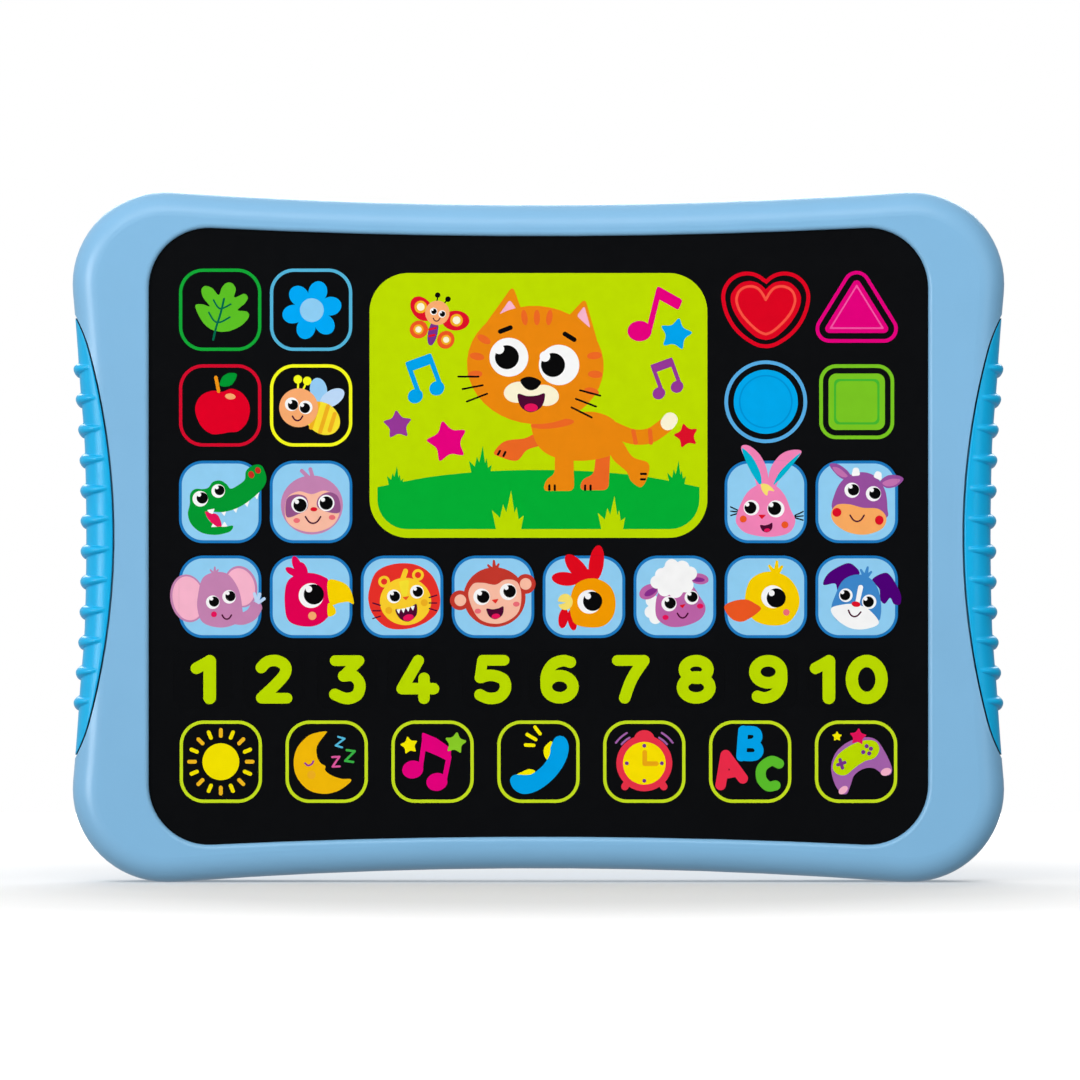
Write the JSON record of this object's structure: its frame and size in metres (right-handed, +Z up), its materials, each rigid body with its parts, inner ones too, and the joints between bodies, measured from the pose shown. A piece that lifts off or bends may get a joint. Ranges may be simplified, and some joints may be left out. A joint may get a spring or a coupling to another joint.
{
  "type": "toy learning tablet",
  "caption": "Toy learning tablet: blue case with soft ribbed side grips and a black panel of pressable picture, shape and number keys round a picture window",
  "frame": {"origin": "midway between the two lower corners it stands on, halfway through the case's depth, at the level of the surface it stands on", "axes": "+X to the right seen from the front, -Y out of the front face, +Z up"},
  "size_m": [0.24, 0.025, 0.178],
  "materials": {
    "case_blue": "moulded ABS, satin gloss",
    "door_blue": "moulded ABS, satin gloss",
    "grip_rubber": "soft translucent TPE, smooth",
    "panel_film": "black hard-coated film over ABS",
    "picture_film": "printed film over a translucent diffuser",
    "key_tile": "printed key, gloss top coat",
    "key_black": "black printed key, gloss top coat",
    "film_red": "printed key, gloss top coat",
    "film_magenta": "printed key, gloss top coat",
    "film_cyan": "printed key, gloss top coat",
    "film_green": "printed key, gloss top coat",
    "spacer_film": "clear polyester film",
    "contact_film": "polyester film with printed silver tracks",
    "inner_plastic": "natural white ABS",
    "screw_steel": "zinc-plated steel",
    "cell_sleeve": "printed foil sleeve",
    "contact_nickel": "nickel-plated spring steel",
    "board_resin": "green solder mask",
    "component_black": "black epoxy and moulded bodies",
    "switch_can": "pressed and plated",
    "slider_black": "moulded, matte",
    "speaker_steel": "pressed steel basket and ferrite magnet",
    "speaker_paper": "pressed paper",
    "lamp_board": "white board with diffused lamps",
    "lead_sleeve": "insulated stranded wire"
  },
  "bodies": {
    "case": {"front_housing": "case_blue", "rear_housing": "case_blue", "grip_left": "grip_rubber", "grip_right": "grip_rubber", "front_panel": "panel_film", "picture_window": "picture_film", "key_spacer": "spacer_film", "contact_film": "contact_film", "backing_plate": "inner_plastic", "screws": "screw_steel", "battery_cells": "cell_sleeve", "battery_contacts": "contact_nickel", "main_board": "board_resin", "board_parts": "component_black", "switch_body": "switch_can", "speaker_frame": "speaker_steel", "speaker_cone": "speaker_paper", "led_board": "lamp_board", "wire_leads": "lead_sleeve"},
    "battery_door": {"battery_door": "door_blue"},
    "screw_left": {"door_screw_left": "screw_steel"},
    "screw_right": {"door_screw_right": "screw_steel"},
    "switch": {"switch_slider": "slider_black"},
    "leaf_button": {"key_leaf": "key_black"},
    "flower_button": {"key_flower": "key_black"},
    "heart_button": {"key_heart": "film_red"},
    "triangle_button": {"key_triangle": "film_magenta"},
    "apple_button": {"key_apple": "key_black"},
    "bee_button": {"key_bee": "key_black"},
    "circle_button": {"key_circle": "film_cyan"},
    "square_button": {"key_square": "film_green"},
    "crocodile_button": {"key_crocodile": "key_tile"},
    "sloth_button": {"key_sloth": "key_tile"},
    "rabbit_button": {"key_rabbit": "key_tile"},
    "cow_button": {"key_cow": "key_tile"},
    "elephant_button": {"key_elephant": "key_tile"},
    "parrot_button": {"key_parrot": "key_tile"},
    "lion_button": {"key_lion": "key_tile"},
    "monkey_button": {"key_monkey": "key_tile"},
    "rooster_button": {"key_rooster": "key_tile"},
    "sheep_button": {"key_sheep": "key_tile"},
    "duck_button": {"key_duck": "key_tile"},
    "puppy_button": {"key_puppy": "key_tile"},
    "number_1_button": {"key_number_1": "key_black"},
    "number_2_button": {"key_number_2": "key_black"},
    "number_3_button": {"key_number_3": "key_black"},
    "number_4_button": {"key_number_4": "key_black"},
    "number_5_button": {"key_number_5": "key_black"},
    "number_6_button": {"key_number_6": "key_black"},
    "number_7_button": {"key_number_7": "key_black"},
    "number_8_button": {"key_number_8": "key_black"},
    "number_9_button": {"key_number_9": "key_black"},
    "number_10_button": {"key_number_10": "key_black"},
    "sun_button": {"key_sun": "key_black"},
    "moon_button": {"key_moon": "key_black"},
    "music_button": {"key_music": "key_black"},
    "phone_button": {"key_phone": "key_black"},
    "clock_button": {"key_clock": "key_black"},
    "letters_button": {"key_letters": "key_black"},
    "gamepad_button": {"key_gamepad": "key_black"}
  },
  "joints": [
    {"name": "battery_door_lift", "type": "slide", "parent": "case", "child": "battery_door", "axis": [0, 1, 0], "range_m": [0, 0.03]},
    {"name": "control_switch_slide", "type": "slide", "parent": "case", "child": "switch", "axis": [1, 0, 0], "range_m": [0, 0.006]},
    {"name": "door_screw_left_turn", "type": "hinge", "parent": "battery_door", "child": "screw_left", "pos_m": [-0.0325, 0.0106, 0.058], "axis": [0, 1, 0], "continuous": true},
    {"name": "door_screw_right_turn", "type": "hinge", "parent": "battery_door", "child": "screw_right", "pos_m": [0.0325, 0.0106, 0.058], "axis": [0, 1, 0], "continuous": true},
    {"name": "key_leaf_press", "type": "slide", "parent": "case", "child": "leaf_button", "axis": [0, 1, 0], "range_m": [0, 0.0005], "stiffness_N_per_m": 1000, "springref_m": -0.0005},
    {"name": "key_flower_press", "type": "slide", "parent": "case", "child": "flower_button", "axis": [0, 1, 0], "range_m": [0, 0.0005], "stiffness_N_per_m": 1000, "springref_m": -0.0005},
    {"name": "key_heart_press", "type": "slide", "parent": "case", "child": "heart_button", "axis": [0, 1, 0], "range_m": [0, 0.0005], "stiffness_N_per_m": 1000, "springref_m": -0.0005},
    {"name": "key_triangle_press", "type": "slide", "parent": "case", "child": "triangle_button", "axis": [0, 1, 0], "range_m": [0, 0.0005], "stiffness_N_per_m": 1000, "springref_m": -0.0005},
    {"name": "key_apple_press", "type": "slide", "parent": "case", "child": "apple_button", "axis": [0, 1, 0], "range_m": [0, 0.0005], "stiffness_N_per_m": 1000, "springref_m": -0.0005},
    {"name": "key_bee_press", "type": "slide", "parent": "case", "child": "bee_button", "axis": [0, 1, 0], "range_m": [0, 0.0005], "stiffness_N_per_m": 1000, "springref_m": -0.0005},
    {"name": "key_circle_press", "type": "slide", "parent": "case", "child": "circle_button", "axis": [0, 1, 0], "range_m": [0, 0.0005], "stiffness_N_per_m": 1000, "springref_m": -0.0005},
    {"name": "key_square_press", "type": "slide", "parent": "case", "child": "square_button", "axis": [0, 1, 0], "range_m": [0, 0.0005], "stiffness_N_per_m": 1000, "springref_m": -0.0005},
    {"name": "key_crocodile_press", "type": "slide", "parent": "case", "child": "crocodile_button", "axis": [0, 1, 0], "range_m": [0, 0.0005], "stiffness_N_per_m": 1000, "springref_m": -0.0005},
    {"name": "key_sloth_press", "type": "slide", "parent": "case", "child": "sloth_button", "axis": [0, 1, 0], "range_m": [0, 0.0005], "stiffness_N_per_m": 1000, "springref_m": -0.0005},
    {"name": "key_rabbit_press", "type": "slide", "parent": "case", "child": "rabbit_button", "axis": [0, 1, 0], "range_m": [0, 0.0005], "stiffness_N_per_m": 1000, "springref_m": -0.0005},
    {"name": "key_cow_press", "type": "slide", "parent": "case", "child": "cow_button", "axis": [0, 1, 0], "range_m": [0, 0.0005], "stiffness_N_per_m": 1000, "springref_m": -0.0005},
    {"name": "key_elephant_press", "type": "slide", "parent": "case", "child": "elephant_button", "axis": [0, 1, 0], "range_m": [0, 0.0005], "stiffness_N_per_m": 1000, "springref_m": -0.0005},
    {"name": "key_parrot_press", "type": "slide", "parent": "case", "child": "parrot_button", "axis": [0, 1, 0], "range_m": [0, 0.0005], "stiffness_N_per_m": 1000, "springref_m": -0.0005},
    {"name": "key_lion_press", "type": "slide", "parent": "case", "child": "lion_button", "axis": [0, 1, 0], "range_m": [0, 0.0005], "stiffness_N_per_m": 1000, "springref_m": -0.0005},
    {"name": "key_monkey_press", "type": "slide", "parent": "case", "child": "monkey_button", "axis": [0, 1, 0], "range_m": [0, 0.0005], "stiffness_N_per_m": 1000, "springref_m": -0.0005},
    {"name": "key_rooster_press", "type": "slide", "parent": "case", "child": "rooster_button", "axis": [0, 1, 0], "range_m": [0, 0.0005], "stiffness_N_per_m": 1000, "springref_m": -0.0005},
    {"name": "key_sheep_press", "type": "slide", "parent": "case", "child": "sheep_button", "axis": [0, 1, 0], "range_m": [0, 0.0005], "stiffness_N_per_m": 1000, "springref_m": -0.0005},
    {"name": "key_duck_press", "type": "slide", "parent": "case", "child": "duck_button", "axis": [0, 1, 0], "range_m": [0, 0.0005], "stiffness_N_per_m": 1000, "springref_m": -0.0005},
    {"name": "key_puppy_press", "type": "slide", "parent": "case", "child": "puppy_button", "axis": [0, 1, 0], "range_m": [0, 0.0005], "stiffness_N_per_m": 1000, "springref_m": -0.0005},
    {"name": "key_number_1_press", "type": "slide", "parent": "case", "child": "number_1_button", "axis": [0, 1, 0], "range_m": [0, 0.0005], "stiffness_N_per_m": 1000, "springref_m": -0.0005},
    {"name": "key_number_2_press", "type": "slide", "parent": "case", "child": "number_2_button", "axis": [0, 1, 0], "range_m": [0, 0.0005], "stiffness_N_per_m": 1000, "springref_m": -0.0005},
    {"name": "key_number_3_press", "type": "slide", "parent": "case", "child": "number_3_button", "axis": [0, 1, 0], "range_m": [0, 0.0005], "stiffness_N_per_m": 1000, "springref_m": -0.0005},
    {"name": "key_number_4_press", "type": "slide", "parent": "case", "child": "number_4_button", "axis": [0, 1, 0], "range_m": [0, 0.0005], "stiffness_N_per_m": 1000, "springref_m": -0.0005},
    {"name": "key_number_5_press", "type": "slide", "parent": "case", "child": "number_5_button", "axis": [0, 1, 0], "range_m": [0, 0.0005], "stiffness_N_per_m": 1000, "springref_m": -0.0005},
    {"name": "key_number_6_press", "type": "slide", "parent": "case", "child": "number_6_button", "axis": [0, 1, 0], "range_m": [0, 0.0005], "stiffness_N_per_m": 1000, "springref_m": -0.0005},
    {"name": "key_number_7_press", "type": "slide", "parent": "case", "child": "number_7_button", "axis": [0, 1, 0], "range_m": [0, 0.0005], "stiffness_N_per_m": 1000, "springref_m": -0.0005},
    {"name": "key_number_8_press", "type": "slide", "parent": "case", "child": "number_8_button", "axis": [0, 1, 0], "range_m": [0, 0.0005], "stiffness_N_per_m": 1000, "springref_m": -0.0005},
    {"name": "key_number_9_press", "type": "slide", "parent": "case", "child": "number_9_button", "axis": [0, 1, 0], "range_m": [0, 0.0005], "stiffness_N_per_m": 1000, "springref_m": -0.0005},
    {"name": "key_number_10_press", "type": "slide", "parent": "case", "child": "number_10_button", "axis": [0, 1, 0], "range_m": [0, 0.0005], "stiffness_N_per_m": 1000, "springref_m": -0.0005},
    {"name": "key_sun_press", "type": "slide", "parent": "case", "child": "sun_button", "axis": [0, 1, 0], "range_m": [0, 0.0005], "stiffness_N_per_m": 1000, "springref_m": -0.0005},
    {"name": "key_moon_press", "type": "slide", "parent": "case", "child": "moon_button", "axis": [0, 1, 0], "range_m": [0, 0.0005], "stiffness_N_per_m": 1000, "springref_m": -0.0005},
    {"name": "key_music_press", "type": "slide", "parent": "case", "child": "music_button", "axis": [0, 1, 0], "range_m": [0, 0.0005], "stiffness_N_per_m": 1000, "springref_m": -0.0005},
    {"name": "key_phone_press", "type": "slide", "parent": "case", "child": "phone_button", "axis": [0, 1, 0], "range_m": [0, 0.0005], "stiffness_N_per_m": 1000, "springref_m": -0.0005},
    {"name": "key_clock_press", "type": "slide", "parent": "case", "child": "clock_button", "axis": [0, 1, 0], "range_m": [0, 0.0005], "stiffness_N_per_m": 1000, "springref_m": -0.0005},
    {"name": "key_letters_press", "type": "slide", "parent": "case", "child": "letters_button", "axis": [0, 1, 0], "range_m": [0, 0.0005], "stiffness_N_per_m": 1000, "springref_m": -0.0005},
    {"name": "key_gamepad_press", "type": "slide", "parent": "case", "child": "gamepad_button", "axis": [0, 1, 0], "range_m": [0, 0.0005], "stiffness_N_per_m": 1000, "springref_m": -0.0005}
  ]
}
